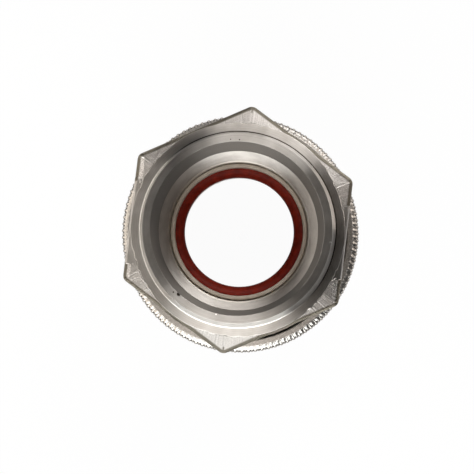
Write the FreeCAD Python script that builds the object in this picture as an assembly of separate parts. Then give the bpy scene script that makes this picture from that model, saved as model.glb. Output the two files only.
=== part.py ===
import FreeCAD, Part
import math
import os

# The socket of a straight-through quick connect coupling, in stainless steel.
# Z is the axis of the bore. Zero is the face of the plug end, and the hexagon end is on top.
# Lengths are in millimetres and angles in degrees.

Vector = FreeCAD.Vector
centre = Vector(0, 0, 0)
up = Vector(0, 0, 1)
across = Vector(0, 1, 0)
full_turn = 360.0

# Clearances and small edges
seat_clearance = 0.05
ball_clearance = 0.05
sleeve_clearance = 0.08
ring_clearance = 0.05
machined_edge = 0.2
past_the_face = 2.0

# Hexagon, as cast
spanner_size = 41.0
hexagon_sides = 6
hexagon_height = 14.1
hexagon_corner_round = 1.5
hexagon_edge_round = 0.5
crown_slope = 8.0

# Turned face of the hexagon and tube stub
turned_face_stand = 0.5
turned_face_margin = 0.3
tube_diameter = 35.0
tube_wall = 1.5
stub_length = 6.4
stub_base_height = 1.0
stub_base_width = 1.0

# Bore behind the stub
mouth_wall_depth = 12.0
mouth_wall_taper = 3.2
bore_depth = 20.1
bore_foot_clearance = 0.2

# Neck and flange below the hexagon
neck_wall = 2.25
flange_width = 1.75
flange_thickness = 1.6
flange_recess = 1.8
finger_gap = 5.9

# Seal group at the foot of the bore
seal_inner_diameter = 21.8
seal_section = 3.53
seal_ring_width = 1.98
seal_ring_lip_wall = 0.95
seal_ring_lip_height = 1.85
seal_ring_flange = 0.9
backup_thickness = 1.0
gasket_width = 1.4
gasket_thickness = 1.4

# Plug side
plug_pocket_diameter = 28.4
pilot_land_length = 4.4
plug_pilot_clearance = 0.45
plug_lead_in = 0.8

# Locking balls and sleeve travel
ball_diameter = 5.0
ball_count = 12
ball_reach = 1.2
sleeve_travel = 6.0

# Snap ring at the nose
nose_length = 1.6
snap_ring_thickness = 1.4
snap_ring_groove_depth = 0.75
snap_ring_stand = 1.3
snap_ring_gap_angle = 14.0

# Release sleeve
lip_thickness = 1.2
land_length = 2.4
sleeve_front_wall = 2.6
sleeve_shoulder_length = 2.4
grip_wall = 2.45
grip_chamfer = 1.35
grip_run_out = 1.2
cavity_clearance = 0.35
knurl_teeth = 109
knurl_depth = 0.55

# Spring and its washers
spring_wire = 1.4
spring_turns = 4.5
spring_length = 12.7
spring_clearance = 0.5
washer_thickness = 0.8

# Radii that follow from these
ball_radius = ball_diameter / 2
pocket_radius = plug_pocket_diameter / 2
pilot_radius = seal_inner_diameter / 2 + plug_pilot_clearance
ball_circle_radius = pocket_radius - ball_reach + ball_radius
cage_radius = ball_circle_radius + ball_radius
land_radius = cage_radius + sleeve_clearance
stub_radius = tube_diameter / 2
mouth_radius = stub_radius - tube_wall
mouth_wall_end_radius = mouth_radius - mouth_wall_depth * math.tan(math.radians(mouth_wall_taper))
neck_radius = cage_radius + neck_wall
flange_radius = neck_radius + flange_width
cavity_radius = flange_radius + cavity_clearance
grip_radius = cavity_radius + grip_wall
hexagon_inner_radius = spanner_size / 2
turned_face_radius = hexagon_inner_radius - turned_face_margin
seal_circle_radius = (seal_inner_diameter + seal_section) / 2
seal_pocket_radius = seal_circle_radius + seal_section / 2 + ring_clearance
seal_ring_radius = seal_pocket_radius - seal_ring_width
foot_radius = seal_ring_radius + seal_ring_lip_wall + bore_foot_clearance
gasket_radius = cage_radius - gasket_width
snap_groove_radius = cage_radius - snap_ring_groove_depth
snap_ring_radius = cage_radius + snap_ring_stand
sleeve_recess_radius = snap_ring_radius + cavity_clearance

# The ramp that the balls climb, parallel to the path of their centres
ramp_slope = ball_reach / sleeve_travel
ramp_angle = math.atan(ramp_slope)
ramp_offset = ball_radius + sleeve_clearance

# Heights above the plug end's face
snap_ring_top = nose_length + snap_ring_thickness
lip_bottom = snap_ring_top + seat_clearance
lip_top = lip_bottom + lip_thickness
ball_plane = lip_top + sleeve_travel + ball_radius
ramp_touch_radius = ball_circle_radius + ramp_offset * math.cos(ramp_angle)
ramp_touch_height = ball_plane + ramp_offset * math.sin(ramp_angle)
land_bottom = ramp_touch_height - (land_radius - ramp_touch_radius) / ramp_slope
ramp_foot_radius = land_radius + (land_bottom - lip_top) * ramp_slope
sleeve_front_radius = ramp_foot_radius + sleeve_front_wall
grip_root_radius = grip_radius - knurl_depth
sleeve_step = land_bottom + land_length
shoulder_top = sleeve_step - seat_clearance
shoulder_bottom = shoulder_top - sleeve_shoulder_length
run_out_bottom = shoulder_top + grip_run_out
knurl_bottom = run_out_bottom + grip_run_out
follower_bottom = sleeve_step + seat_clearance
spring_bottom = follower_bottom + washer_thickness
spring_top = spring_bottom + spring_length
flange_bottom = spring_top + washer_thickness
flange_top = flange_bottom + flange_thickness
sleeve_rear = flange_top + flange_recess
hexagon_bottom = sleeve_rear + sleeve_travel + finger_gap
hexagon_top = hexagon_bottom + hexagon_height
turned_face = hexagon_top + turned_face_stand
end_face = turned_face + stub_length
mouth_wall_end = end_face - mouth_wall_depth
foot_height = end_face - bore_depth
seal_flange_top = foot_height - seat_clearance
seal_flange_bottom = seal_flange_top - seal_ring_flange
seal_height = seal_flange_bottom - seat_clearance - seal_section / 2
backup_top = seal_height - seal_section / 2 - seat_clearance
seal_floor = backup_top - backup_thickness
plug_pocket_depth = seal_floor - pilot_land_length
gasket_floor = foot_height - gasket_thickness


def turned(points):
    """A solid turned about Z from its outline of (radius, height) points."""
    corners = [Vector(radius, 0, height) for radius, height in points]
    outline = Part.makePolygon(corners + corners[:1])
    return Part.Face(outline).revolve(centre, up, full_turn)


def washer(inner, outer, bottom, top):
    """A flat ring between two radii and two heights."""
    return turned([(inner, bottom), (outer, bottom), (outer, top), (inner, top)])


def at_angle(radius, angle, height):
    """The point at a radius, an angle about Z and a height."""
    turn = math.radians(angle)
    return Vector(radius * math.cos(turn), radius * math.sin(turn), height)


def rounded_hexagon(height):
    """The hexagon's outline with round corners: straight sides joined by arcs."""
    half_side = full_turn / hexagon_sides / 2
    round_centre = (hexagon_inner_radius - hexagon_corner_round) / math.cos(math.radians(half_side))
    edges = []
    for side in range(hexagon_sides):
        corner = side * 2 * half_side
        middle = at_angle(round_centre, corner, height)
        start = middle + at_angle(hexagon_corner_round, corner - half_side, 0)
        halfway = middle + at_angle(hexagon_corner_round, corner, 0)
        end = middle + at_angle(hexagon_corner_round, corner + half_side, 0)
        edges.append(Part.Arc(start, halfway, end).toShape())
        following = at_angle(round_centre, corner + 2 * half_side, height)
        landing = following + at_angle(hexagon_corner_round, corner + half_side, 0)
        edges.append(Part.LineSegment(end, landing).toShape())
    return Part.Wire(edges)


def hexagon_block():
    """The cast hexagon: its top falls a little towards each side, which leaves a crease in each corner."""
    block = Part.Face(rounded_hexagon(hexagon_bottom)).extrude(up * (hexagon_height + turned_face_stand))
    reach = 2 * spanner_size
    half_side = full_turn / hexagon_sides / 2
    for side in range(hexagon_sides):
        waste = Part.makeBox(reach, 2 * reach, reach, Vector(-reach / 2, -reach, 0))
        waste.rotate(centre, across, crown_slope)
        waste.translate(Vector(hexagon_inner_radius, 0, hexagon_top))
        waste.rotate(centre, up, half_side * (2 * side + 1))
        block = block.cut(waste)
    rim = []
    for edge in block.Edges:
        middle = edge.valueAt((edge.FirstParameter + edge.LastParameter) / 2)
        flat = edge.BoundBox.ZLength < hexagon_height / 2
        outside = math.hypot(middle.x, middle.y) > hexagon_inner_radius - hexagon_edge_round
        if flat and outside:
            rim.append(edge)
    return block.makeFillet(hexagon_edge_round, rim)


def hex_adapter():
    """Hexagon, tube stub, neck and flange in one, bored for the tube end and for the ball cage."""
    hidden = (hexagon_bottom + hexagon_top) / 2
    outside = turned([
        (0, flange_bottom),
        (flange_radius, flange_bottom),
        (flange_radius, flange_top),
        (neck_radius, flange_top),
        (neck_radius, hidden),
        (turned_face_radius, hidden),
        (turned_face_radius, turned_face - machined_edge),
        (turned_face_radius - machined_edge, turned_face),
        (stub_radius + stub_base_width, turned_face),
        (stub_radius, turned_face + stub_base_height),
        (stub_radius, end_face - machined_edge),
        (stub_radius - machined_edge, end_face),
        (0, end_face),
    ])
    bore = turned([
        (0, flange_bottom - past_the_face),
        (cage_radius, flange_bottom - past_the_face),
        (cage_radius, foot_height),
        (foot_radius, foot_height),
        (mouth_wall_end_radius, mouth_wall_end),
        (mouth_radius, end_face),
        (mouth_radius, end_face + past_the_face),
        (0, end_face + past_the_face),
    ])
    return outside.fuse(hexagon_block()).cut(bore)


def ball_cage():
    """The body that takes the plug: its row of ball seats, the snap ring's groove and the seal's pocket."""
    cage = turned([
        (pocket_radius + plug_lead_in, 0),
        (cage_radius - machined_edge, 0),
        (cage_radius, machined_edge),
        (cage_radius, nose_length - seat_clearance),
        (snap_groove_radius, nose_length - seat_clearance),
        (snap_groove_radius, snap_ring_top + seat_clearance),
        (cage_radius, snap_ring_top + seat_clearance),
        (cage_radius, gasket_floor),
        (gasket_radius, gasket_floor),
        (gasket_radius, foot_height),
        (seal_pocket_radius, foot_height),
        (seal_pocket_radius, seal_floor),
        (pilot_radius, seal_floor),
        (pilot_radius, plug_pocket_depth),
        (pocket_radius, plug_pocket_depth),
        (pocket_radius, plug_lead_in),
    ])
    seat_radius = ball_radius + ball_clearance
    for ball in range(ball_count):
        turn = ball * full_turn / ball_count
        middle = at_angle(ball_circle_radius, turn, ball_plane)
        outward = at_angle(1, turn, 0)
        guide = Part.makeCylinder(seat_radius, ball_diameter, middle, outward)
        seat = Part.makeSphere(seat_radius, middle)
        cage = cage.cut(guide.fuse(seat))
    return cage


def knurl_waste():
    """What the knurling takes away: a ring outside a star of straight teeth."""
    points = []
    for step in range(2 * knurl_teeth):
        radius = grip_radius if step % 2 == 0 else grip_root_radius
        points.append(at_angle(radius, step * full_turn / (2 * knurl_teeth), knurl_bottom))
    star = Part.Face(Part.makePolygon(points + points[:1])).extrude(up * (sleeve_rear - knurl_bottom))
    ring = Part.makeCylinder(grip_radius + past_the_face, sleeve_rear - knurl_bottom, Vector(0, 0, knurl_bottom))
    return ring.cut(star)


def release_sleeve():
    """The sliding sleeve: lip, ball ramp and land inside the front, spring room behind, knurled grip."""
    sleeve = turned([
        (sleeve_recess_radius, nose_length),
        (sleeve_front_radius - machined_edge, nose_length),
        (sleeve_front_radius, nose_length + machined_edge),
        (sleeve_front_radius, shoulder_bottom),
        (grip_radius, shoulder_top),
        (grip_radius, run_out_bottom),
        (grip_root_radius, run_out_bottom),
        (grip_root_radius, knurl_bottom),
        (grip_radius, knurl_bottom),
        (grip_radius, sleeve_rear - grip_chamfer),
        (grip_radius - grip_chamfer, sleeve_rear),
        (cavity_radius, sleeve_rear),
        (cavity_radius, sleeve_step),
        (land_radius, sleeve_step),
        (land_radius, land_bottom),
        (ramp_foot_radius, lip_top),
        (land_radius, lip_top),
        (land_radius, lip_bottom),
        (sleeve_recess_radius, lip_bottom),
    ])
    return sleeve.cut(knurl_waste())


def locking_ball(number):
    """One steel ball in its seat, reaching into the plug pocket."""
    middle = at_angle(ball_circle_radius, number * full_turn / ball_count, ball_plane)
    return Part.makeSphere(ball_radius, middle)


def sleeve_spring():
    """A round-wire compression spring whose end turns are ground flat."""
    coil_radius = (cage_radius + cavity_radius) / 2
    grinding = spring_wire / 4
    rise = spring_length + 2 * grinding - spring_wire
    path = Part.makeHelix(rise / spring_turns, rise, coil_radius)
    start = Vector(coil_radius, 0, 0)
    section = Part.Wire(Part.makeCircle(spring_wire / 2, start, across))
    coil = Part.Wire(path).makePipeShell([section], True, True)
    coil.translate(Vector(0, 0, spring_bottom - grinding + spring_wire / 2))
    return coil.common(washer(cage_radius, cavity_radius, spring_bottom, spring_top))


def snap_ring():
    """An open ring that springs into the groove at the nose and stops the sleeve."""
    inner = snap_groove_radius + ring_clearance
    corners = [
        Vector(inner, 0, nose_length),
        Vector(snap_ring_radius, 0, nose_length),
        Vector(snap_ring_radius, 0, snap_ring_top),
        Vector(inner, 0, snap_ring_top),
    ]
    section = Part.Face(Part.makePolygon(corners + corners[:1]))
    ring = section.revolve(centre, up, full_turn - snap_ring_gap_angle)
    ring.rotate(centre, up, snap_ring_gap_angle / 2)
    return ring


def bore_seal():
    """The round-section seal ring that grips the plug's nose."""
    return Part.makeTorus(seal_circle_radius, seal_section / 2, Vector(0, 0, seal_height))


def seal_ring():
    """The ring that holds the seal down: a flange under the adapter and a lip that stands in the bore."""
    lip_radius = seal_ring_radius + seal_ring_lip_wall
    lip_height = seal_flange_top + seal_ring_lip_height
    return turned([
        (seal_ring_radius, seal_flange_bottom),
        (seal_pocket_radius - ring_clearance, seal_flange_bottom),
        (seal_pocket_radius - ring_clearance, seal_flange_top),
        (lip_radius, seal_flange_top),
        (lip_radius, lip_height),
        (seal_ring_radius, lip_height),
    ])


def build():
    """Every piece under its own name."""
    pieces = {
        "hex_adapter": hex_adapter(),
        "ball_cage": ball_cage(),
        "release_sleeve": release_sleeve(),
        "sleeve_spring": sleeve_spring(),
        "snap_ring": snap_ring(),
        "bore_seal": bore_seal(),
        "seal_ring": seal_ring(),
    }
    pieces["backup_ring"] = washer(
        pilot_radius, seal_pocket_radius - ring_clearance, seal_floor, backup_top
    )
    pieces["body_gasket"] = washer(
        gasket_radius + ring_clearance, cage_radius - ring_clearance, gasket_floor, foot_height
    )
    pieces["spring_seat"] = washer(
        cage_radius + sleeve_clearance, cavity_radius - spring_clearance, spring_top, flange_bottom
    )
    pieces["spring_follower"] = washer(
        cage_radius + sleeve_clearance, cavity_radius - spring_clearance, follower_bottom, spring_bottom
    )
    for ball in range(ball_count):
        pieces[f"locking_ball_{ball + 1:02d}"] = locking_ball(ball)
    return pieces


os.makedirs("parts", exist_ok=True)
for name, piece in build().items():
    solids = piece.Solids
    shape = solids[0] if len(solids) == 1 else piece
    shape.exportStep(f"parts/{name}.step")
    box = shape.BoundBox
    print(
        f"{name}: {len(solids)} solid, valid {shape.isValid()}, volume {shape.Volume:.1f},",
        f"z {box.ZMin:.2f} to {box.ZMax:.2f}, x {box.XMin:.2f} to {box.XMax:.2f}",
    )
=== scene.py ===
# %% [markdown]
# # A quick connect coupling in stainless steel
# This lesson dresses the socket of a quick connect coupling, seen down its bore from the hexagon end.
# The imported model holds every piece at its true size and place, in metres, with the bore along Z.
# What follows adds what that model leaves plain: the cast corners of the hexagon, the diamond
# knurling, a coiled spring, soft seals and a finish for every surface.

import bpy
import numpy as np
from mathutils import Matrix, Vector


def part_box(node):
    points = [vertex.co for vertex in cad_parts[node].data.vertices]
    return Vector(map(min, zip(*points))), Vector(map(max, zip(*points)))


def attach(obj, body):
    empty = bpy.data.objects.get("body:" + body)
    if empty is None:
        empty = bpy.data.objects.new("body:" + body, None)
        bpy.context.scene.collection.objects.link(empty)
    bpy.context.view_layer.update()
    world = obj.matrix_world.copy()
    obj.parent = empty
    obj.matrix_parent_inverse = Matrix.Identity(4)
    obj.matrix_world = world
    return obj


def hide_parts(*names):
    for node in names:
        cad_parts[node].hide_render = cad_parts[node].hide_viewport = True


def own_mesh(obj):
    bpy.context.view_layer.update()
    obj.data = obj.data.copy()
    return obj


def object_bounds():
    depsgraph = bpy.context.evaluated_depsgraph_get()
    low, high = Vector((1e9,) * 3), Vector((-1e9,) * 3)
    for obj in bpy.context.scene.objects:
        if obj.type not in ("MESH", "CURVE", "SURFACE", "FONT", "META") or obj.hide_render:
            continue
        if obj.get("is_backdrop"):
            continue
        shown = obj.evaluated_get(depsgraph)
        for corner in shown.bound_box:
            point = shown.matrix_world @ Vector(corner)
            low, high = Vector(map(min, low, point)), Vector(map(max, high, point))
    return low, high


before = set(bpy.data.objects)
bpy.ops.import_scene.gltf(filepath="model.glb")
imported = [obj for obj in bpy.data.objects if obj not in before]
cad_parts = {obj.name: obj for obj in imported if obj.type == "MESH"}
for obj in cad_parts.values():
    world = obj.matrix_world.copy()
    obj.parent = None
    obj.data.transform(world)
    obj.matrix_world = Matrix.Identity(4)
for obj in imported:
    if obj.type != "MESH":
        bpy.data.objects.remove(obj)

packed_box = [list(corner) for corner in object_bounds()]
print("pieces in the frame:", len(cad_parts))

# %% [markdown]
# ## Sizes taken from the frame
# A new surface has to lie exactly where the solid lies, so its sizes are read from the frame's boxes
# where they can be. The few that no box shows are named here in millimetres. The knurled grip keeps
# a hair inside its box, because the box is that of a many-sided ring and not of a true circle.

# %% Sizes
mm = 0.001
full_turn = 2 * np.pi


def top(node):
    """The highest Z of a node, in millimetres."""
    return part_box(node)[1].z / mm


def bottom(node):
    """The lowest Z of a node, in millimetres."""
    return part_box(node)[0].z / mm


def radius(node):
    """Half the width of a round node, in millimetres, measured along Y."""
    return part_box(node)[1].y / mm


inside_box = 0.006
end_face = top("hex_adapter")
foot_height = top("ball_cage")
cage_radius = radius("ball_cage")
sleeve_front = bottom("release_sleeve")
sleeve_rear = top("release_sleeve")
grip_radius = radius("release_sleeve") - inside_box
flange_bottom = bottom("hex_adapter")
stub_length = 6.4
stub_radius = 17.5
stub_base_radius = 18.5
stub_base_height = 1.0
mouth_radius = 16.0
mouth_wall_end_radius = 15.329
mouth_wall_end = end_face - 12.0
foot_radius = 13.48
turned_face = end_face - stub_length
turned_face_radius = 20.2
hexagon_top = turned_face - 0.5
hexagon_bottom = hexagon_top - 14.1
hexagon_inner_radius = 20.5
hexagon_corner_round = 1.5
hexagon_edge_round = 0.5
crown_slope = np.radians(8.0)
neck_radius = 20.25
flange_radius = 22.0
flange_top = flange_bottom + 1.6
print(f"end face {end_face:.2f}, turned face {turned_face:.2f}")
print(f"sleeve {sleeve_front:.2f} to {sleeve_rear:.2f}")

# %% [markdown]
# ## The camera
# The photograph looks straight down the bore from a hand's length away, a little off its axis, so the
# deeper circles drift to the lower right. The focal length and the place of the camera come from the
# circles of the mouth, the bore's foot and the seal, whose sizes and depths are known.

# %% Camera
focal_pixels = 1310
frame_pixels = 474
sensor_width = 36
face_seen_at = Vector((0, 1.59, -240)) * mm
axis_seen = Vector((-0.0197, 0.0284, 1)).normalized()
corner_seen_turned = np.radians(23.1)

corner_seen = Vector((np.cos(corner_seen_turned), np.sin(corner_seen_turned), 0))
corner_seen = (corner_seen - axis_seen * corner_seen.dot(axis_seen)).normalized()
side_seen = axis_seen.cross(corner_seen)
camera_turn = Matrix((corner_seen, side_seen, axis_seen))
lens = bpy.data.cameras.new("camera")
lens.sensor_width = sensor_width
lens.lens = sensor_width * focal_pixels / frame_pixels
lens.clip_start = 0.01
lens.clip_end = 20
camera = bpy.data.objects.new("camera", lens)
camera_at = Vector((0, 0, end_face * mm)) - camera_turn @ face_seen_at
camera.matrix_world = Matrix.Translation(camera_at) @ camera_turn.to_4x4()
bpy.context.scene.collection.objects.link(camera)
bpy.context.scene.camera = camera
print("camera stands", [round(part / mm) for part in camera_at], "mm from the plug end")

# %% [markdown]
# ## A helper for shader maths
# A finish is mostly arithmetic: masks, lines and spots, added and multiplied. Wiring each Math node
# by hand hides what it says, so one small class wraps a node's output and lets it be written as
# a Python expression. Everything that isn't arithmetic comes from its one method, node.

# %% Shader maths
class Wire:
    """A node's output used as a value. Each operator adds one Math node to the same tree."""

    def __init__(self, tree, socket=None):
        self.tree = tree
        self.socket = socket

    def node(self, kind, settings=None, inputs=None, output=0):
        """A node of this kind with its settings, and its inputs as values or links."""
        made = self.tree.nodes.new(kind)
        for name, value in (settings or {}).items():
            setattr(made, name, value)
        for key, value in (inputs or {}).items():
            if isinstance(value, Wire):
                self.tree.links.new(value.socket, made.inputs[key])
            else:
                made.inputs[key].default_value = value
        return Wire(self.tree, made.outputs[output])

    def maths(self, operation, *values):
        """One Math node, which does this operation on the values."""
        return self.node("ShaderNodeMath", {"operation": operation}, dict(enumerate(values)))

    def __add__(self, other):
        return self.maths("ADD", self, other)

    def __radd__(self, other):
        return self.maths("ADD", other, self)

    def __sub__(self, other):
        return self.maths("SUBTRACT", self, other)

    def __rsub__(self, other):
        return self.maths("SUBTRACT", other, self)

    def __mul__(self, other):
        return self.maths("MULTIPLY", self, other)

    def __rmul__(self, other):
        return self.maths("MULTIPLY", other, self)

    def __truediv__(self, other):
        return self.maths("DIVIDE", self, other)

    def __rtruediv__(self, other):
        return self.maths("DIVIDE", other, self)

    def step(self, low, high):
        """0 where the value is below low, 1 above high, and smooth between."""
        settings = {"interpolation_type": "SMOOTHSTEP"}
        return self.node("ShaderNodeMapRange", settings, {0: self, 1: low, 2: high, 3: 0.0, 4: 1.0})


# %% [markdown]
# Patterns come from few kinds of node: where a point is, what the mesh holds for it, noise in space
# and noise along one value. Short names for them let a finish read like a recipe.

# %% Patterns
def coordinates(tree):
    """The Object coordinates in millimetres, and the distance from the axis, root of x^2 + y^2."""
    place = Wire(tree).node("ShaderNodeTexCoord", output="Object")
    place = place.node("ShaderNodeVectorMath", {"operation": "SCALE"}, {0: place, "Scale": 1 / mm})
    parts = [place.node("ShaderNodeSeparateXYZ", None, {0: place}, axis) for axis in range(3)]
    from_axis = place.maths("SQRT", parts[0] * parts[0] + parts[1] * parts[1])
    return place, parts, from_axis


def stored(tree, name):
    """A number that the mesh holds for each point under this name."""
    return Wire(tree).node("ShaderNodeAttribute", {"attribute_name": name}, None, "Fac")


def noise(place, scale, detail=2.0, roughness=0.5):
    """Noise from 0 to 1 at so many features a millimetre, its middle at 0.5."""
    inputs = {"Vector": place, "Scale": scale, "Detail": detail, "Roughness": roughness}
    return place.node("ShaderNodeTexNoise", None, inputs)


def lines(value, scale, detail=3.0):
    """Noise along one value only, which draws lines where the value stays the same."""
    inputs = {"W": value, "Scale": scale, "Detail": detail, "Roughness": 0.6}
    return value.node("ShaderNodeTexNoise", {"noise_dimensions": "1D"}, inputs)


def mix(mask, first, second):
    """The first colour where the mask is 0 and the second where it is 1."""
    return mask.node("ShaderNodeMix", {"data_type": "RGBA"}, {0: mask, 6: first, 7: second}, 2)


# %% [markdown]
# Each material is one Principled shader. What is the same all over is set on its sockets, and what
# varies is wired to them.

# %% Materials
def finish(name, make, **uniform):
    """A material whose shader takes what varies from make(tree) and what is uniform from the keywords."""
    material = bpy.data.materials.new(name)
    material.use_nodes = True
    shader = material.node_tree.nodes["Principled BSDF"]
    for socket, value in uniform.items():
        shader.inputs[socket.replace("_", " ")].default_value = value
    for socket, value in make(material.node_tree).items():
        material.node_tree.links.new(value.socket, shader.inputs[socket])
    print(f"{name}: {len(material.node_tree.nodes)} nodes")
    return material


def bump(height, distance):
    """The normal of a surface raised by height times distance, in millimetres."""
    inputs = {"Strength": 1.0, "Distance": distance * mm, "Height": height}
    return height.node("ShaderNodeBump", None, inputs)


def paint(piece, material):
    """The piece takes one material in its first slot."""
    piece.data.materials.clear()
    piece.data.materials.append(material)


# %% [markdown]
# ## Turning a profile into a mesh
# Nearly every piece here is turned on a lathe, so one helper serves them all. A profile is a list of
# corners in the plane of radius and height. Each corner gets a small arc, because a machined edge is
# never knife sharp, and its tiny round is what catches the light. The profile is then swept round Z
# as one numpy grid, whose rows are stations along the profile and whose columns are angles.

# %% Profiles
support = 0.06
longest_arc = 0.45


def rounded_profile(corners, rounds, steps=5):
    """Stations along a closed profile whose corner k is rounded with the radius rounds[k].

    The arc touches both sides of its corner at radius / tan(opening / 2) from it. A support station
    beside each end of the arc keeps the arc's smooth shading off the flat faces. An arc takes at
    most the share longest_arc of the shorter side.
    """
    corners = np.array(corners, float)
    stations = []
    for k, corner in enumerate(corners):
        before = corners[k - 1] - corner
        after = corners[(k + 1) % len(corners)] - corner
        length_before, length_after = np.linalg.norm(before), np.linalg.norm(after)
        before, after = before / length_before, after / length_after
        opening = np.arccos(np.clip(before @ after, -1, 1))
        limit = longest_arc * min(length_before, length_after)
        reach = min(rounds[k] / np.tan(opening / 2), limit)
        spare = min(support, limit - reach)
        middle = corner + (before + after) * reach / (1 + np.cos(opening))
        start, end = corner + before * reach, corner + after * reach
        sweep = np.linspace(0, 1, steps + 1)[:, None]
        bend = np.pi - opening
        arc = np.sin((1 - sweep) * bend) * (start - middle) + np.sin(sweep * bend) * (end - middle)
        stations += [start + before * spare, *(middle + arc / np.sin(bend)), end + after * spare]
    return np.array(stations)


def placed(radii, angles, heights):
    """Grid of points at radius * cos, radius * sin and height, from rows of radii and heights."""
    x, y = radii * np.cos(angles), radii * np.sin(angles)
    return np.stack([x, y, heights + 0 * x], axis=-1)


def swept(stations, angles):
    """Grid whose rows are the stations of a profile and whose columns are angles round the axis."""
    return placed(stations[:, :1], angles, stations[:, 1:])


def even_angles(count):
    """So many angles round the axis, evenly spread."""
    return np.arange(count) * full_turn / count


def distance_along(stations):
    """Distance of each station from the first: the running sum of the steps between stations."""
    steps = np.linalg.norm(np.diff(stations, axis=0), axis=1)
    return np.concatenate([[0], np.cumsum(steps)])[:, None]


# %% [markdown]
# The faces of a grid follow from its rows and columns alone. Cut into triangles the right way, their
# diagonals run along the grooves of a knurl. The mesh also holds numbers for each point, such as how
# cast it is, which the finishes read later.

# %% Faces and pieces
def grid_faces(rows, columns, closed=True, split=False):
    """Faces between neighbours of a grid whose columns wrap round, and whose rows do too if closed.

    Where split, each quad is cut into two triangles, along one diagonal or the other as row + column
    is even or odd, so that straight slanted edges in both directions stay straight.
    """
    index = np.arange(rows * columns).reshape(rows, columns)
    if closed:
        index = np.vstack([index, index[:1]])
    next_to = np.roll(index, -1, axis=1)
    a, b, c, d = index[:-1].ravel(), next_to[:-1].ravel(), next_to[1:].ravel(), index[1:].ravel()
    if not split:
        return np.stack([a, b, c, d], axis=-1)
    odd = np.add.outer(np.arange(len(index) - 1), np.arange(columns)).ravel() % 2 == 1
    first = np.where(odd[:, None], np.stack([a, b, d], -1), np.stack([a, b, c], -1))
    second = np.where(odd[:, None], np.stack([b, c, d], -1), np.stack([a, c, d], -1))
    return np.stack([first, second], axis=1).reshape(-1, 3)


def mesh_piece(name, points, faces, caps=(), smooth=True, **attributes):
    """A piece from points in millimetres and faces, with every face turned outwards.

    The enclosed volume is a sixth of the sum of corner . (corner x corner) over triangles, and where
    it comes out negative all faces are turned round. Each attribute is one number for each point.
    """
    places = points.reshape(-1, 3) * mm
    corners = [places[faces[:, k]] for k in range(faces.shape[1])]
    fan = range(1, len(corners) - 1)
    volume = sum(np.sum(corners[0] * np.cross(corners[k], corners[k + 1])) for k in fan)
    faces = faces.tolist() + [list(cap) for cap in caps]
    if volume < 0:
        faces = [face[::-1] for face in faces]
    mesh = bpy.data.meshes.new(name)
    mesh.from_pydata(places.tolist(), [], faces)
    mesh.polygons.foreach_set("use_smooth", np.broadcast_to(smooth, len(faces)).astype(bool))
    for attribute, values in attributes.items():
        layer = mesh.attributes.new(attribute, "FLOAT", "POINT")
        values = np.broadcast_to(values, points.shape[:-1]).ravel().astype(np.float32)
        layer.data.foreach_set("value", values)
    mesh.update()
    piece = bpy.data.objects.new(name, mesh)
    bpy.context.scene.collection.objects.link(piece)
    print(f"{name}: {len(faces)} faces")
    return piece


def for_parts(parts, *values):
    """One number for each point of joined grids, from a number or an array for each grid."""
    pairs = zip(values, parts)
    return np.concatenate([np.broadcast_to(value, part.shape[:2]) for value, part in pairs])


# %% [markdown]
# ## Roughness of a casting
# The hexagon is an investment casting whose middle was turned clean afterwards. The untouched
# corners keep a skin of small bumps. Value noise makes them: random heights on a lattice, blended
# smoothly between lattice points. It is seeded, so every run gives the same skin.

# %% Seeded noise
lattice = 256


def value_noise(x, y, seed):
    """Smooth noise between -1 and 1: lattice heights blended with the curve 3t^2 - 2t^3."""
    heights = np.random.default_rng(seed).uniform(-1, 1, (lattice, lattice))
    column, row = np.floor(x).astype(int), np.floor(y).astype(int)
    across, along = x - column, y - row
    across, along = across * across * (3 - 2 * across), along * along * (3 - 2 * along)
    left, right = column % lattice, (column + 1) % lattice
    below, above = row % lattice, (row + 1) % lattice
    near = heights[below, left] * (1 - across) + heights[below, right] * across
    far = heights[above, left] * (1 - across) + heights[above, right] * across
    return near * (1 - along) + far * along


def smooth_step(low, high, x):
    """0 below low, 1 above high and 3t^2 - 2t^3 between."""
    share = np.clip((x - low) / (high - low), 0, 1)
    return share * share * (3 - 2 * share)


# %% [markdown]
# ## The hexagon piece
# The real piece starts as a casting: a hexagon with a tube stub. A lathe then cleans the stub, the
# face round it and the bore, and leaves the six corners as they were cast. A plain extrusion with a
# chamfer would look like a nut from bar stock, so the top is worked out point by point instead:
# a turned disc in the middle, and outside it a skin that falls towards each side and rounds over.
# Inside the outline, distance is measured to the nearest side, so most sums need a point's distance
# towards a side and its place along that side.

# %% Outline of the hexagon
halvings = 40
side_angles = np.radians(np.arange(6) * 60 + 30)
half_side_share = np.tan(np.pi / 6)


def place_at_side(angle, x, y):
    """Distance towards a side, x cos + y sin of its angle, and along it, y cos - x sin."""
    return x * np.cos(angle) + y * np.sin(angle), y * np.cos(angle) - x * np.sin(angle)


def hexagon_inset(x, y):
    """Distance inside the round-cornered hexagon, less than zero outside it.

    It is the corner's radius less the distance to a smaller sharp hexagon.
    """
    inner = hexagon_inner_radius - hexagon_corner_round
    half_side = inner * half_side_share
    inset = np.full(np.shape(x), -np.inf)
    for angle in side_angles:
        across, along = place_at_side(angle, x, y)
        past_end = np.maximum(np.abs(along) - half_side, 0)
        beyond = np.where(across > inner, np.hypot(across - inner, past_end), across - inner)
        facing = np.abs(along) <= across * half_side_share + 1e-9
        inset = np.where(facing, hexagon_corner_round - beyond, inset)
    return inset


def hexagon_reach(angles):
    """Radius of the hexagon's outline at each angle, found by halving between inside and outside."""
    low = np.full(angles.shape, hexagon_inner_radius - 1)
    high = np.full(angles.shape, hexagon_inner_radius * 1.2)
    for _ in range(halvings):
        middle = (low + high) / 2
        inside = hexagon_inset(middle * np.cos(angles), middle * np.sin(angles)) > 0
        low, high = np.where(inside, middle, low), np.where(inside, high, middle)
    return low


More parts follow.
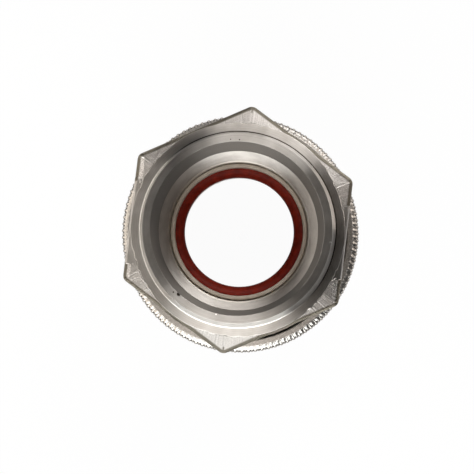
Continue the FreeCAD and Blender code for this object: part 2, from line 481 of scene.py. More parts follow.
columns_per_side = 120
gathering = 0.6
share = np.arange(columns_per_side) / columns_per_side
share = share - gathering * np.sin(full_turn * share) / full_turn
hexagon_angles = np.radians(60) * (np.arange(6)[:, None] + share[None, :]).ravel()
hexagon_outline = hexagon_reach(hexagon_angles)
print(f"hexagon outline {hexagon_outline.min():.2f} to {hexagon_outline.max():.2f} mm")

# %% [markdown]
# The skin starts at the turned face and ends at the outline. Near the corners the lathe's cut met
# rough casting, so there the skin's start wavers.

# %% Cast skin of the hexagon
def cast_skin(x, y):
    """Height of the cast top.

    It falls towards the nearest side by the distance times the slope's tangent, and drops off over
    the side along a quarter circle: radius less the root of radius^2 - inset^2.
    """
    nearest = np.max([place_at_side(angle, x, y)[0] for angle in side_angles], axis=0)
    crown = hexagon_top + (hexagon_inner_radius - nearest) * np.tan(crown_slope)
    inset = np.clip(hexagon_edge_round - hexagon_inset(x, y), 0, hexagon_edge_round)
    drop = hexagon_edge_round - np.sqrt(hexagon_edge_round**2 - inset**2)
    return crown - drop


skin_steps, crowding = 30, 0.8
skin_gap = 0.02
corner_begins, corner_full = 20.8, 21.6
ragged_reach, ragged_inwards, ragged_waves, lattice_row = 0.22, 0.1, 90, 3.5
skin_share = np.linspace(0, 1, skin_steps)[:, None] ** crowding
corner_share = smooth_step(corner_begins, corner_full, hexagon_outline)
waves = value_noise(hexagon_angles * ragged_waves / np.pi, lattice_row, seed=14)
ragged = (ragged_reach * waves - ragged_inwards) * corner_share
skin_start = turned_face_radius + ragged
skin_radius = skin_start + (hexagon_outline - skin_start) * skin_share
skin_x, skin_y = skin_radius * np.cos(hexagon_angles), skin_radius * np.sin(hexagon_angles)
skin_height = np.minimum(cast_skin(skin_x, skin_y), turned_face - skin_gap)
print(f"cast skin from {skin_radius.min():.2f} to {skin_radius.max():.2f} mm")

# %% [markdown]
# The skin gets two sizes of bumps, and a fine crease along each corner, where the two halves of the
# wax pattern met. The bumps fade in from the turned edge, so that the two surfaces still meet there.

# %% Bumps and creases of the cast skin
lattice_shift = 90
coarse_bumps, fine_bumps, fine_share = 1.9, 4.3, 0.7
bump_depth, bump_sink, fade_steepness = 0.012, 1.2, 8
crease_depth, crease_width = 0.05, 0.09
coarse, fine = [
    value_noise(skin_x * size + lattice_shift, skin_y * size + lattice_shift, seed)
    for size, seed in ((coarse_bumps, 11), (fine_bumps, 12))]
fade_in = np.minimum(skin_share * fade_steepness, 1) * corner_share
bumps = bump_depth * (coarse + fine_share * fine - bump_sink) * fade_in
skin_height = skin_height + bumps
sector, half = np.radians(60), np.radians(30)
from_corner = np.abs((hexagon_angles + half) % sector - half) * skin_radius
skin_height = skin_height - crease_depth * np.exp(-((from_corner / crease_width) ** 2)) * corner_share
print(f"bumps {bumps.min():.3f} to {bumps.max():.3f} mm")

# %% [markdown]
# On two sides the lathe also took the skin off the middle of the side. What it left next to three
# corners are small slanted facets, which catch the light. Each cleaned stretch is given by its side
# and where it starts and ends along it. Each facet is given by its side, its middle and half length
# along it, its width and how far it leans outwards.

# %% Cleaned sides and facets
cleaned_sides = [(150, -7.2, 8.7), (330, -7.4, 6.5)]
facets = [(150, -9.4, 2.0, 1.3, 16), (150, 10.2, 1.3, 1.1, 16), (330, -9.5, 1.9, 1.4, 6)]
waver = 0.5
soft, facet_end_soft = 0.1, 0.15
past_corner, rim_width = 0.3, 0.2
skin_cast, skin_facet = np.ones(skin_x.shape), np.zeros(skin_x.shape)
for side, start, end in cleaned_sides:
    to_side, sideways = place_at_side(np.radians(side), skin_x, skin_y)
    wavering = value_noise(skin_radius * 5, sideways * 2 + 50, seed=15)
    sideways = sideways + waver * wavering - waver / 2
    cleaned = smooth_step(start - soft, start + soft, sideways)
    cleaned = cleaned * smooth_step(end + soft, end - soft, sideways)
    skin_cast = skin_cast - cleaned * (np.abs(sideways) < to_side * half_side_share + past_corner)
for side, middle, half_length, width, lean in facets:
    to_side, sideways = place_at_side(np.radians(side), skin_x, skin_y)
    past_start = to_side - (hexagon_inner_radius - width - rim_width)
    from_end = half_length - np.abs(sideways - middle)
    facet = smooth_step(-soft, soft, past_start) * smooth_step(-facet_end_soft, facet_end_soft, from_end)
    skin_height = skin_height - np.maximum(past_start, 0) * np.tan(np.radians(lean)) * facet
    skin_facet = np.maximum(skin_facet, facet)
skin_points = placed(skin_radius, hexagon_angles, skin_height)
print(f"facets cover {100 * skin_facet.mean():.1f}% of the skin's points")

# %% [markdown]
# Below the skin the casting's sides go straight down with faint waves, and round under towards the
# neck. Both are grids with the skin's own columns, so that the parts join row by row.

# %% Side and underside of the hexagon
side_steps = 10
under_steps = 6
side_inset, side_bumps = 0.03, 0.03
waves_round, waves_down = 40, 0.8
side_top = skin_height[-1]
side_low = hexagon_bottom + hexagon_edge_round
side_share = np.linspace(0, 1, side_steps + 1)[1:, None]
side_height = side_top + (side_low - side_top) * side_share
side_wave = side_bumps * value_noise(hexagon_angles * waves_round, side_height * waves_down, seed=13)
side_wave = side_wave * np.sin(np.pi * side_share)
side_radius = hexagon_outline - side_inset + side_wave
under_turn = np.linspace(0, np.pi / 2, under_steps + 1)[1:, None]
under_radius = hexagon_outline - side_inset - hexagon_edge_round * (1 - np.cos(under_turn))
under_height = side_low - hexagon_edge_round * np.sin(under_turn)
under_radius = np.maximum(under_radius, neck_radius + skin_gap)
side_points = placed(side_radius, hexagon_angles, side_height)
under_points = placed(under_radius, hexagon_angles, under_height)
print(f"sides {side_low:.2f} to {side_top.max():.2f} mm high")

# %% [markdown]
# Everything else on this piece is turned: neck, flange, bore, cone, stub and the face round it. One
# profile gives it all, and its last edge follows the ragged start of the skin.

# %% Turned part of the hexagon piece
turned_corners = [
    (neck_radius, hexagon_bottom), (neck_radius, flange_top), (flange_radius, flange_top),
    (flange_radius, flange_bottom), (cage_radius, flange_bottom), (cage_radius, foot_height),
    (foot_radius, foot_height), (mouth_wall_end_radius, mouth_wall_end), (mouth_radius, end_face),
    (stub_radius, end_face), (stub_radius, turned_face + stub_base_height), (stub_base_radius, turned_face),
    (turned_face_radius, turned_face), (turned_face_radius, turned_face - 0.4),
]
turned_rounds = [0.1, 0.4, 0.15, 0.15, 0.1, 0.1, 0.05, 0.08, 0.06, 0.12, 0.3, 0.2, 0.12, 0.02]
turned_stations = rounded_profile(turned_corners, turned_rounds, steps=4)[:-7]
turned_points = swept(turned_stations, hexagon_angles)
edge_begins, edge_middle, edge_reach = turned_face_radius - 0.8, 0.45, 0.55
edge_share = smooth_step(edge_begins, turned_face_radius, turned_stations[:, :1])
from_edge = np.abs(turned_stations[:, 1:] - turned_face + edge_middle)
edge_share = edge_share * (from_edge < edge_reach)
turned_points[..., :2] *= (1 + ragged * edge_share / turned_face_radius)[..., None]
print(f"turned part: {len(turned_stations)} stations")

# %% [markdown]
# The four parts become one mesh. Its points also hold what the finish needs to know: the distance
# along the lathe's profile, the distance round the axis, and where the surface is cast, is part of
# the rounded rim, or is one of the facets.

# %% Hexagon and stub
# Painted shade goes on the rounded rim of the cast top and on the creases of two corners; the rim mask
# carries both.
creased_corners = [1, 4]
dark_crease_width, dark_crease_begins = 0.17, 22.0
rim_begins, rim_full = hexagon_edge_round + 0.32, hexagon_edge_round + 0.02
rim = smooth_step(rim_begins, rim_full, hexagon_inset(skin_x, skin_y))
creased = np.isin(np.round(hexagon_angles / sector) % 6, creased_corners)
crease = np.exp(-((from_corner / dark_crease_width) ** 2)) * creased
crease = crease * smooth_step(dark_crease_begins, dark_crease_begins + 0.4, skin_radius)
turned_along = distance_along(turned_stations)
adapter_parts = [turned_points, skin_points, side_points, under_points]
adapter_points = np.concatenate(adapter_parts)
adapter = mesh_piece(
    "hexagon_and_stub", adapter_points, grid_faces(*adapter_points.shape[:2]),
    along=for_parts(adapter_parts, turned_along, *[turned_along[-1, 0]] * 3),
    turn=hexagon_angles * turned_face_radius,
    cast=for_parts(adapter_parts, 0, np.clip(skin_cast, 0, 1), 1, 1),
    rim=for_parts(adapter_parts, 0, np.maximum(rim, crease), 0, 0),
    facet=for_parts(adapter_parts, 0, skin_facet, 0, 0),
)
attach(adapter, "socket_body")
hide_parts("hex_adapter")

# %% [markdown]
# ## The knurled sleeve
# Diamond knurling is rolled into the grip by two wheels whose teeth lean opposite ways. Each wheel
# leaves a family of V grooves, and what stands between them is a field of small pyramids. The height
# is the lower of two triangle waves, one for each family, so the grooves cross at their true angle.
# The grid has a whole number of columns and rows to a tooth, so every groove runs along its edges.

# %% Sizes of the sleeve
knurl_teeth, steps_per_tooth = 109, 8
knurl_depth, flat_tip = 0.55, 0.75
knurl_rows, bevel_rows = 52, 6
grip_chamfer, chamfer_height, chamfer_groove = 1.35, 0.78, 0.22
clearance, ball_gap = 0.05, 0.08
run_out, lip_height, slope_length = 1.2, 1.2, 2.4
ramp_slope = 0.2
sleeve_step = bottom("spring_follower") - clearance
shoulder_top = sleeve_step - clearance
run_out_bottom = shoulder_top + run_out
knurl_bottom = run_out_bottom + run_out
sleeve_front_radius = 22.4
cavity_radius = 22.35
land_radius = cage_radius + ball_gap
lip_bottom = top("snap_ring") + clearance
lip_top = lip_bottom + lip_height
land_bottom = sleeve_step - slope_length
ramp_foot_radius = land_radius + (land_bottom - lip_top) * ramp_slope
recess_radius = 19.65
root_radius = grip_radius - knurl_depth
print(f"knurled from {knurl_bottom:.2f} to {sleeve_rear:.2f} mm with {knurl_teeth} teeth")

# %% [markdown]
# The end of the grip that faces the hexagon is cut back to a flat bevel, into which the grooves run
# out. It mirrors lamps that stand well above the floor, which gives the bright beads at the bottom
# of the photograph and the dark ones on its right. It has rows of its own.

# %% Knurled grip
tooth_column = np.arange(knurl_teeth * steps_per_tooth)
sleeve_angles = tooth_column * full_turn / len(tooth_column)
row_height = (sleeve_rear - knurl_bottom) / knurl_rows
chamfer_start = knurl_rows - chamfer_height / row_height
even_rows = np.arange(np.ceil(chamfer_start - 0.5))
grip_row = np.concatenate([even_rows, np.linspace(chamfer_start, knurl_rows, bevel_rows)])[:, None]
grip_height = knurl_bottom + (sleeve_rear - knurl_bottom) * grip_row / knurl_rows
slanted = [(tooth_column + lean * grip_row) % steps_per_tooth / steps_per_tooth for lean in (1, -1)]
relief = np.minimum(*[np.abs(2 * wave - 1) for wave in slanted])
relief = np.minimum(relief / flat_tip, 1)
cut_back = np.maximum(grip_height - (sleeve_rear - chamfer_height), 0) * grip_chamfer / chamfer_height
grip = np.minimum(grip_radius - knurl_depth * (1 - relief), grip_radius - cut_back)
before_end = cut_back < grip_chamfer - 2 * clearance
grip = grip - chamfer_groove * (1 - relief) * np.minimum(cut_back, 1) * before_end
grip_points = placed(grip, sleeve_angles, grip_height)
print(f"grip {grip.min():.2f} to {grip.max():.2f} mm in radius")

# %% [markdown]
# The rest of the sleeve is turned: shoulder, plain front, recess for the snap ring, ramp that pushes
# the balls in and hollow for the spring. Its profile ends where the grip's grid begins.

# %% Release sleeve
sleeve_corners = [
    (grip_radius - grip_chamfer, sleeve_rear), (cavity_radius, sleeve_rear),
    (cavity_radius, sleeve_step), (land_radius, sleeve_step), (land_radius, land_bottom),
    (ramp_foot_radius, lip_top), (land_radius, lip_top), (land_radius, lip_bottom),
    (recess_radius, lip_bottom), (recess_radius, sleeve_front), (sleeve_front_radius, sleeve_front),
    (sleeve_front_radius, shoulder_top - slope_length),
    (grip_radius, shoulder_top), (grip_radius, run_out_bottom),
    (root_radius, run_out_bottom), (root_radius, knurl_bottom),
]
sleeve_rounds = [0.02, 0.15, 0.3, 0.1, 0.1, 0.3, 0.1, 0.1, 0.1, 0.15, 0.3, 0.4, 0.2, 0.15, 0.3, 0.02]
sleeve_stations = rounded_profile(sleeve_corners, sleeve_rounds, steps=1)[3:-2]
smooth_points = swept(sleeve_stations, sleeve_angles)
sleeve_parts = [smooth_points, grip_points]
sleeve_points = np.concatenate(sleeve_parts)
sleeve_along = distance_along(sleeve_stations)
grip_cut = (grip_radius - cut_back - grip) / knurl_depth
sleeve_faces = grid_faces(*sleeve_points.shape[:2], split=True)
face_row = sleeve_faces.min(axis=1) // len(tooth_column)
sleeve = mesh_piece(
    "knurled_sleeve", sleeve_points, sleeve_faces, smooth=face_row < len(smooth_points),
    along=for_parts(sleeve_parts, sleeve_along, sleeve_along[-1, 0]),
    knurled=for_parts(sleeve_parts, 0, 1),
    groove=for_parts(sleeve_parts, 0, grip_cut),
)
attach(sleeve, "release_sleeve")
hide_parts("release_sleeve")

# %% [markdown]
# ## The spring
# A round wire wound to a coil, with both end turns ground flat so that it stands square on its
# washers. It could be a curve with a bevel, but the ground ends need flat faces, so the wire is swept
# as a grid round its helix, and its heights are simply held between the two washers.

# %% Sleeve spring
wire_radius = 0.7
spring_turns = 4.5
spring_bottom, spring_top = top("spring_follower"), bottom("spring_seat")
coil_radius = (cage_radius + cavity_radius) / 2
ground = wire_radius / 2
steps_per_turn = 96
wire_sides = 20
winding = np.linspace(0, spring_turns * full_turn, int(spring_turns * steps_per_turn) + 1)[:, None]
rise = spring_top - spring_bottom + 2 * (ground - wire_radius)
round_wire = even_angles(wire_sides)[None, :]
wire_from_axis = coil_radius + wire_radius * np.cos(round_wire)
wire_middle = spring_bottom - ground + wire_radius + rise * winding / winding[-1]
wire_height = np.clip(wire_middle + wire_radius * np.sin(round_wire), spring_bottom, spring_top)
wire_points = placed(wire_from_axis, winding, wire_height)
rows = len(winding)
ends = [np.arange(wire_sides)[::-1], np.arange(wire_sides) + (rows - 1) * wire_sides]
spring = mesh_piece("coil_spring", wire_points, grid_faces(rows, wire_sides, closed=False), caps=ends)
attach(spring, "socket_body")
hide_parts("sleeve_spring")
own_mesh(spring)

# %% [markdown]
# ## The seal and the ring that holds it
# The red seal is moulded in two halves, so a fine parting line runs round it. The beige ring that
# holds it is turned from plastic, with soft edges. Both are profiles swept round the bore.

# %% Seal and seal ring
seal_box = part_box("bore_seal")
seal_section = (seal_box[1].z - seal_box[0].z) / mm
seal_height = (seal_box[1].z + seal_box[0].z) / 2 / mm
seal_circle = seal_box[1].y / mm - seal_section / 2
round_section = even_angles(64)
parting_height, parting_width = 0.015, 0.05
parting = parting_height * np.exp(-((np.abs(np.sin(round_section)) / parting_width) ** 2))
section_radius = seal_section / 2 - parting_height + parting
seal_stations = np.stack([
    seal_circle + section_radius * np.cos(round_section),
    seal_height + section_radius * np.sin(round_section)], axis=-1)
ring_columns = 360
seal_points = swept(seal_stations, even_angles(ring_columns))
seal = mesh_piece("red_seal", seal_points, grid_faces(*seal_points.shape[:2]))
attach(seal, "socket_body")
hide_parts("bore_seal")

ring_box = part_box("seal_ring")
ring_outer = ring_box[1].y / mm
ring_inner = 12.7
ring_lip = 13.45
flange_height = 0.9
ring_bottom, ring_top = ring_box[0].z / mm, ring_box[1].z / mm
ring_corners = [
    (ring_inner, ring_bottom), (ring_outer, ring_bottom), (ring_outer, ring_bottom + flange_height),
    (ring_lip, ring_bottom + flange_height), (ring_lip, ring_top), (ring_inner, ring_top),
]
ring_stations = rounded_profile(ring_corners, [0.1, 0.1, 0.1, 0.1, 0.28, 0.2], steps=6)
ring_points = swept(ring_stations, even_angles(ring_columns))
ring = mesh_piece("beige_ring", ring_points, grid_faces(*ring_points.shape[:2]))
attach(ring, "socket_body")
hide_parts("seal_ring")

# %% [markdown]
# ## Turned stainless steel
# A lathe leaves fine rings, which spread a reflection across the rings and hardly along them. That
# makes the bright and dark sectors that fan out from the bore. The shader's own anisotropy does this,
# turned a quarter so that it stretches across the rings. The rings themselves are noise along the
# profile. Stains and rings also shift the colour between two near tones, and each region has its own
# pair: the stub's face, the flat face of the hexagon, called the land, and the bore. The cone's foot
# is painted near white as a painted highlight, and the short wall in front of it is painted dark as
# painted shade.

# %% Colours of the turned surfaces
face_tones = (0.37, 0.345, 0.32, 1), (0.48, 0.455, 0.43, 1)
land_tones = (0.52, 0.485, 0.45, 1), (0.68, 0.645, 0.61, 1)
bore_tones = (0.6, 0.565, 0.53, 1), (0.8, 0.765, 0.725, 1)
# Painted shade on the short wall of the mouth, and a near-white painted highlight on the cone's foot;
# neither is a colour of the steel.
mouth_wall_shade = (0.16, 0.145, 0.13, 1)
cone_foot_highlight, foot_highlight_height = (0.98, 0.94, 0.88, 1), 2.3
blur = 0.05


def regions(from_axis, z):
    """1 inside the bore, on its cone and on the land, and 0 elsewhere, from radius and height."""
    bore = 1 - (from_axis - mouth_radius).step(-blur, blur)
    cone = bore * (1 - (z - mouth_wall_end).step(-blur, blur))
    land = (from_axis - stub_base_radius).step(0.0, 2 * blur)
    return bore, cone, land


def turned_colour(stained, bore, cone, land, z):
    """Each region's two tones mixed by the stains, and the regions laid over one another."""
    above_foot = (z - foot_height - foot_highlight_height).step(-0.4, 0.0)
    cone_colour = mix(above_foot, cone_foot_highlight, mix(stained, *bore_tones))
    bore_colour = mix(cone, mouth_wall_shade, cone_colour)
    colour = mix(bore, mix(stained, *face_tones), bore_colour)
    return mix(land, colour, mix(stained, *land_tones))


# %% [markdown]
# ## Lines and marks
# Where the stub meets the land a fine line is painted into the colour: a painted highlight towards one
# side and painted shade elsewhere, standing in for the light and shadow on the small round at the
# stub's foot. The stub's face has a nick and a few specks. All are too small to be worth any mesh and
# are drawn in the colour.

# %% Foot line and marks
# Painted light: the foot line is a painted highlight on the side at this angle and painted shade on the rest
# of it.
highlight_side = np.radians(-158)
foot_shade_and_highlight = (0.05, 0.04, 0.032, 1), (1.0, 0.97, 0.93, 1)
line_inside, line_outside, line_blur = 0.12, 0.1, 0.06
below_land, below_stub_end = 0.2, 0.8
# Each mark is an angle in degrees, a radius, a size and a colour.
marks = [
    (-154.6, 16.1, 0.4, (0.03, 0.025, 0.02, 1)), (-158.0, 16.5, 0.16, (0.05, 0.04, 0.03, 1)),
    (-126.8, 16.2, 0.16, (1.0, 0.97, 0.94, 1)), (-31.6, 17.3, 0.2, (1.0, 0.97, 0.94, 1)),
    (65.3, 16.3, 0.14, (0.05, 0.04, 0.035, 1)), (71.0, 16.4, 0.12, (0.06, 0.05, 0.04, 1)),
]


def with_painted_foot_light(colour, place, from_axis, turned):
    """The colour with a line of painted light round the stub's foot, on turned steel at the land's height.

    The line is a painted highlight towards the highlight side and painted shade elsewhere. It brightens
    with the cosine of the angle between a point and the highlight side.
    """
    x, y, z = place
    line = (from_axis - stub_base_radius + line_inside).step(0.0, line_blur)
    line = line * (1 - (from_axis - stub_base_radius - line_outside).step(0.0, line_blur))
    line = line * turned * (z - turned_face + below_land).step(0.0, blur)
    towards = (x * float(np.cos(highlight_side)) + y * float(np.sin(highlight_side))) / from_axis
    return mix(line, colour, mix(towards.step(-0.35, 0.3), *foot_shade_and_highlight))


def with_marks(colour, place):
    """The colour with each mark: a disc where the squared distance from its middle is small enough."""
    x, y, z = place
    for angle, radius, size, mark_colour in marks:
        across = x - radius * float(np.cos(np.radians(angle)))
        along = y - radius * float(np.sin(np.radians(angle)))
        spot = 1 - (across * across + along * along).step(size**2 * 0.6, size**2)
        colour = mix(spot * (z - end_face + below_stub_end).step(0.0, 2 * blur), colour, mark_colour)
    return colour


# %% [markdown]
# ## Cast skin
# What the lathe left alone is grainy, dull and free of rings. Fine flutes run down it, as lines of
# noise round the axis. Its rounded rim and two of its creases are darkened with painted shade, and
# the facets shine like fresh metal. One material holds turned and cast steel, so that they can fade
# into each other.

# %% Turned and cast steel
skin_tones = (0.5, 0.465, 0.435, 1), (0.8, 0.765, 0.735, 1)
facet_tones = (0.55, 0.51, 0.48, 1), (0.95, 0.91, 0.88, 1)
# Painted shade for the rounded rim and two creases, not a colour of the steel.
rim_and_crease_shade = (0.2, 0.18, 0.145, 1)


def cast_colour(tree, grain, flutes):
    """Two tones mixed by grain and flutes, then the facets' tones, then the painted shade of the rim and
    creases over both.
    """
    colour = mix((grain * 0.6 + flutes * 0.4).step(0.2, 0.7), *skin_tones)
    colour = mix(stored(tree, "facet"), colour, mix(grain.step(0.35, 0.6), *facet_tones))
    return mix(stored(tree, "rim"), colour, rim_and_crease_shade)


def turned_and_cast(tree):
    """Colour, roughness and relief of both kinds, each mixed by how far a point is cast."""
    place, parts, from_axis = coordinates(tree)
    z = parts[2]
    cast = stored(tree, "cast").step(0.2, 0.8)
    along = stored(tree, "along")
    rings, fine_rings = lines(along, 6.0), lines(along, 18.0)
    stains, grain = noise(place, 0.35, 3.0), noise(place, 5.0, 3.0, 0.65)
    flutes = lines(stored(tree, "turn"), 3.5) * (z - hexagon_top + 0.9).step(0.0, 0.3)
    bore, cone, land = regions(from_axis, z)
    colour = turned_colour((stains * 0.7 + rings * 0.5).step(0.35, 0.85), bore, cone, land, z)
    colour = with_marks(with_painted_foot_light(colour, parts, from_axis, 1 - cast), parts)
    turned_roughness = 0.27 + bore * 0.07 + cone * 0.13 + land * 0.05 + rings * 0.04 + stains * 0.03
    cast_roughness = 0.36 + grain * 0.12
    turned_relief = (rings * 0.6 + fine_rings * 0.4) * (1 - cast) * 0.12
    return {
        "Base Color": mix(cast, colour, cast_colour(tree, grain, flutes)),
        "Roughness": turned_roughness * (1 - cast) + cast_roughness * cast,
        "Normal": bump(turned_relief + (grain + flutes * 1.5) * cast, 0.03),
    }


quarter_turn = 0.25
turned_steel = finish(
    "turned_steel", turned_and_cast, Metallic=1.0, Anisotropic=1.0, Anisotropic_Rotation=quarter_turn)
paint(adapter, turned_steel)

# %% [markdown]
# ## Plain turned steel
# The body that holds the balls shows only from the plug end, and the two washers hardly at all. They
# need only rings, which noise of height plus radius draws on walls and faces alike.

# %% Plain turned steel
pale_steel = (0.72, 0.68, 0.64, 1)
dull_steel = (0.5, 0.465, 0.43, 1)


def plain_turned(tree):
    """Lathe rings along the bore's axis and across its faces."""
    place, parts, from_axis = coordinates(tree)
    rings = lines(from_axis + parts[2], 6.0)
    stains = noise(place, 0.4, 3.0)
    return {
        "Base Color": mix(stains.step(0.35, 0.7), dull_steel, pale_steel),
        "Roughness": 0.28 + rings * 0.1,
        "Normal": bump(rings, 0.004),
    }


body_steel = finish(
    "body_steel", plain_turned, Metallic=1.0, Anisotropic=0.7, Anisotropic_Rotation=quarter_turn)
for node in ("ball_cage", "spring_seat", "spring_follower"):
    paint(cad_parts[node], body_steel)

# %% [markdown]
# ## The knurled finish
# Rolling the knurl burnishes its tips, and its grooves are darkened with painted shade. The mesh holds
# how deep each point lies in a groove, so the painted shade follows the teeth without any pattern of
# its own.

# %% Knurled steel
knurl_tones = (0.4, 0.37, 0.34, 1), (0.6, 0.565, 0.53, 1)
# Painted shade that darkens the bottoms of the knurl's grooves.
groove_shade = (0.05, 0.042, 0.034, 1)


def knurled_finish(tree):
    """Burnished tips, grooves darkened with painted shade, and turned rings where there is no knurling."""
    place = coordinates(tree)[0]
    knurled = stored(tree, "knurled").step(0.3, 0.7)
    rings = lines(stored(tree, "along"), 7.0)
    grain = noise(place, 4.0, 3.0)
    groove = stored(tree, "groove").step(0.15, 0.6)
    return {
        "Base Color": mix(groove, mix(grain.step(0.3, 0.75), *knurl_tones), groove_shade),
        "Roughness": 0.3 + rings * 0.1 * (1 - knurled) + groove * 0.15,
        "Normal": bump(rings * (1 - knurled) * 0.15 + grain * 0.3, 0.02),
    }


knurled_steel = finish(
    "knurled_steel", knurled_finish, Metallic=1.0, Anisotropic=0.5, Anisotropic_Rotation=quarter_turn)
paint(sleeve, knurled_steel)

# %% [markdown]
# ## Wire and balls
# Spring wire is drawn through a die and stays a little dull. The snap ring is made of it too.
# Locking balls are ground, so they are close to mirrors, with a few scuffs.

# %% Spring wire and balls
steel = (0.64, 0.6, 0.56, 1)
wire_tones = (0.36, 0.35, 0.34, 1), (0.5, 0.49, 0.48, 1)


def drawn_wire(tree):
    """Faint draw marks and dull spots."""
    place = coordinates(tree)[0]
    spots = noise(place, 2.5, 3.0)
    return {
        "Base Color": mix(spots.step(0.35, 0.7), *wire_tones),
        "Roughness": 0.25 + spots * 0.2,
        "Normal": bump(noise(place, 9.0, 2.0), 0.006),
    }


def polished(tree):
    """Nearly a mirror, with a few faint scuffs."""
    place = coordinates(tree)[0]
    scuffs = noise(place, 3.0, 4.0, 0.7).step(0.55, 0.75)
    return {"Roughness": 0.06 + scuffs * 0.12, "Base Color": mix(scuffs, pale_steel, steel)}


wire_steel = finish("drawn_wire", drawn_wire, Metallic=1.0)
ball_steel = finish("ball_steel", polished, Metallic=1.0)
paint(spring, wire_steel)
paint(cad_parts["snap_ring"], wire_steel)
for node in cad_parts:
    if node.startswith("locking_ball"):
        paint(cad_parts[node], ball_steel)

# %% [markdown]
# ## Rubber
# The seal is a red-brown rubber, matte with a dusting of pale specks. It is not a metal, so its
# colour is that of its body, and little light comes straight off its surface.

# %% Red seal
rubber_tones = (0.19, 0.012, 0.004, 1), (0.29, 0.02, 0.007, 1)
dust_colour = (0.35, 0.16, 0.11, 1)


def red_rubber(tree):
    """Dull red with fine dust and a soft unevenness."""
    place = coordinates(tree)[0]
    cloud = noise(place, 0.8, 3.0)
    dust = noise(place, 7.0, 2.0, 0.7).step(0.66, 0.76)
    return {
        "Base Color": mix(dust * 0.5, mix(cloud.step(0.3, 0.7), *rubber_tones), dust_colour),
        "Roughness": 0.45 + cloud * 0.15,
        "Normal": bump(noise(place, 6.0, 3.0), 0.02),
    }


seal_rubber = finish("seal_rubber", red_rubber, Specular_IOR_Level=0.2)
paint(seal, seal_rubber)

# %% [markdown]
# ## Plastic
# The ring that holds the seal is a beige plastic, slightly uneven in colour. The hard ring behind
# the seal and the gasket of the body are hidden and get the same.

# %% Beige plastic
plastic_tones = (0.6, 0.52, 0.43, 1), (0.7, 0.62, 0.52, 1)


def beige_plastic(tree):
    """Beige with faint turned lines and a few darker smears."""
    place, parts, from_axis = coordinates(tree)
    smear = noise(place, 0.5, 3.0)
    rings = lines(from_axis + parts[2], 5.0)
    return {
        "Base Color": mix(smear.step(0.35, 0.7), *plastic_tones),
        "Roughness": 0.5 + smear * 0.1,
        "Normal": bump(rings * 0.4 + noise(place, 4.0, 3.0) * 0.6, 0.02),
    }


ring_plastic = finish("ring_plastic", beige_plastic)
for piece in (ring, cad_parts["backup_ring"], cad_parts["body_gasket"]):
    paint(piece, ring_plastic)

# %% [markdown]
# ## Floor and backdrop
# The photograph's background is plain white, so the stage is one pale sheet that lies flat and turns
# up into a low wall far away. It is a profile swept round, as the pieces are.

# %% Stage
stage_radius = 4000.0
cove_radius = 300.0
wall_height = 350.0
stage_columns, cove_steps = 96, 12
cove = np.linspace(0, np.pi / 2, cove_steps + 1)
floor_line = [[1.0, 0.0], [stage_radius - cove_radius, 0.0]]
cove_line = [stage_radius - cove_radius * (1 - np.sin(cove)), cove_radius * (1 - np.cos(cove))]
cove_line = np.stack(cove_line, axis=-1)
stage_stations = np.concatenate([floor_line, cove_line[1:], [[stage_radius, wall_height]]])
stage_points = swept(stage_stations, even_angles(stage_columns))
stage_centre = [np.arange(stage_columns)[::-1]]
stage_faces = grid_faces(*stage_points.shape[:2], closed=False)
stage = mesh_piece("stage", stage_points, stage_faces[:, ::-1], caps=stage_centre)
stage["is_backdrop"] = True

# %% [markdown]
# More light would whiten the floor but spoil the steel, so its colour depends on the ray that meets
# it. Rays from the camera, from glossy steel and through clear things find mostly white. The others
# find a matte floor, which takes the coupling's shadow.

# %% Surface of the stage
white_share = 0.96
matte_grey = (0.8, 0.8, 0.8, 1)
stage_material = bpy.data.materials.new("pale_stage")
stage_material.use_nodes = True
tree = stage_material.node_tree
tree.nodes.clear()
rays = [Wire(tree).node("ShaderNodeLightPath", output=ray) for ray in
        ("Is Camera Ray", "Is Glossy Ray", "Is Transmission Ray")]
seen = rays[0].maths("MINIMUM", rays[0] + rays[1] + rays[2], 1.0)
matte = Wire(tree).node("ShaderNodeBsdfDiffuse", None, {"Color": matte_grey})
white = Wire(tree).node("ShaderNodeEmission", None, {"Color": (1, 1, 1, 1)})
blend = Wire(tree).node("ShaderNodeMixShader", None, {0: seen * white_share, 1: matte, 2: white})
output = tree.nodes.new("ShaderNodeOutputMaterial")
tree.links.new(blend.socket, output.inputs["Surface"])
stage.data.materials.append(stage_material)
print(f"stage shows {white_share:.0%} white to the camera and to reflections")

# %% [markdown]
# ## Light
# Turned steel shows each lamp as a sector, so the photograph's sectors say where its lamps stood.
# They were found backwards: the coupling was rendered under one patch of a dome at a time, and the
# patches whose light adds up to the photograph's brightness became these panels. The strongest stand
# towards the picture's bottom and top, weaker ones to its left and right. Each is given by the part
# of the picture's compass that it fills and the heights between which it stands.

# %% Panels and world
panel_distance = 0.5


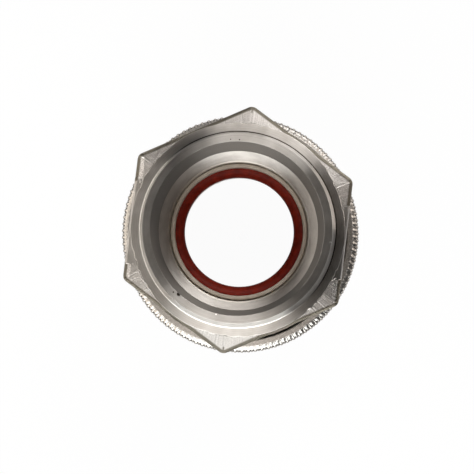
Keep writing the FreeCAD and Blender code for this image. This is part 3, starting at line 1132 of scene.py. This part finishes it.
def panel(name, seen_from, seen_to, lowest, highest, radiance, colour=(1, 1, 1)):
    """A soft panel that faces the coupling.

    It fills the picture's compass from seen_from to seen_to, in degrees clockwise from the right, and
    stands from lowest to highest degrees above the floor. Its width and height are twice distance
    times the tangent of half the angle that each fills, and its power is radiance times pi times area.
    """
    azimuth = np.radians(-(seen_from + seen_to) / 2) - corner_seen_turned
    height = np.radians((lowest + highest) / 2)
    light = bpy.data.lights.new(name, "AREA")
    light.shape = "RECTANGLE"
    light.size = 2 * panel_distance * np.cos(height) * np.tan(np.radians(seen_to - seen_from) / 2)
    light.size_y = 2 * panel_distance * np.tan(np.radians(highest - lowest) / 2)
    light.energy = radiance * np.pi * light.size * light.size_y
    light.color = colour
    lamp = bpy.data.objects.new(name, light)
    lamp.visible_camera = False
    outward = Vector((np.cos(height) * np.cos(azimuth), np.cos(height) * np.sin(azimuth), np.sin(height)))
    sideways = Vector((0, 0, 1)).cross(outward).normalized()
    turned_to = Matrix((sideways, outward.cross(sideways), outward)).transposed()
    lamp.matrix_world = Matrix.Translation(outward * panel_distance) @ turned_to.to_4x4()
    bpy.context.scene.collection.objects.link(lamp)
    print(f"{name}: {light.energy:.1f} W")
    return lamp


panel("near_panel", 60, 135, 24, 42, 6.3, (0.95, 1.0, 1.0))
panel("near_high_panel", 75, 120, 42, 62, 2.8)
panel("near_top_panel", 62, 133, 62, 80, 2.4, (1.0, 0.93, 0.86))
panel("warm_panel", 135, 225, 24, 42, 3.2, (1.0, 0.94, 0.85))
panel("left_top_panel", 150, 225, 62, 80, 0.5)
panel("far_high_panel", 255, 315, 42, 62, 4.9, (1.0, 0.98, 0.95))
panel("far_corner_panel", 285, 316, 24, 42, 4.1)
panel("right_low_panel", 318, 358, 3, 24, 2.4, (1.0, 0.92, 0.84))
sky_strength = 0.02
world = bpy.data.worlds.new("world")
world.use_nodes = True
world.node_tree.nodes["Background"].inputs["Color"].default_value = (1, 1, 1, 1)
world.node_tree.nodes["Background"].inputs["Strength"].default_value = sky_strength
bpy.context.scene.world = world
bpy.context.scene.view_settings.view_transform = "Standard"

# %% [markdown]
# ## Measure and finish
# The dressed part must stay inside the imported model's box, so both boxes are written down.

# %% Sizes and the end
dressed_box = [list(corner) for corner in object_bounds()]
for side, packed, dressed in zip("xyz", zip(*packed_box), zip(*dressed_box)):
    print(side, "packed", [round(v / mm, 3) for v in packed], "dressed", [round(v / mm, 3) for v in dressed])
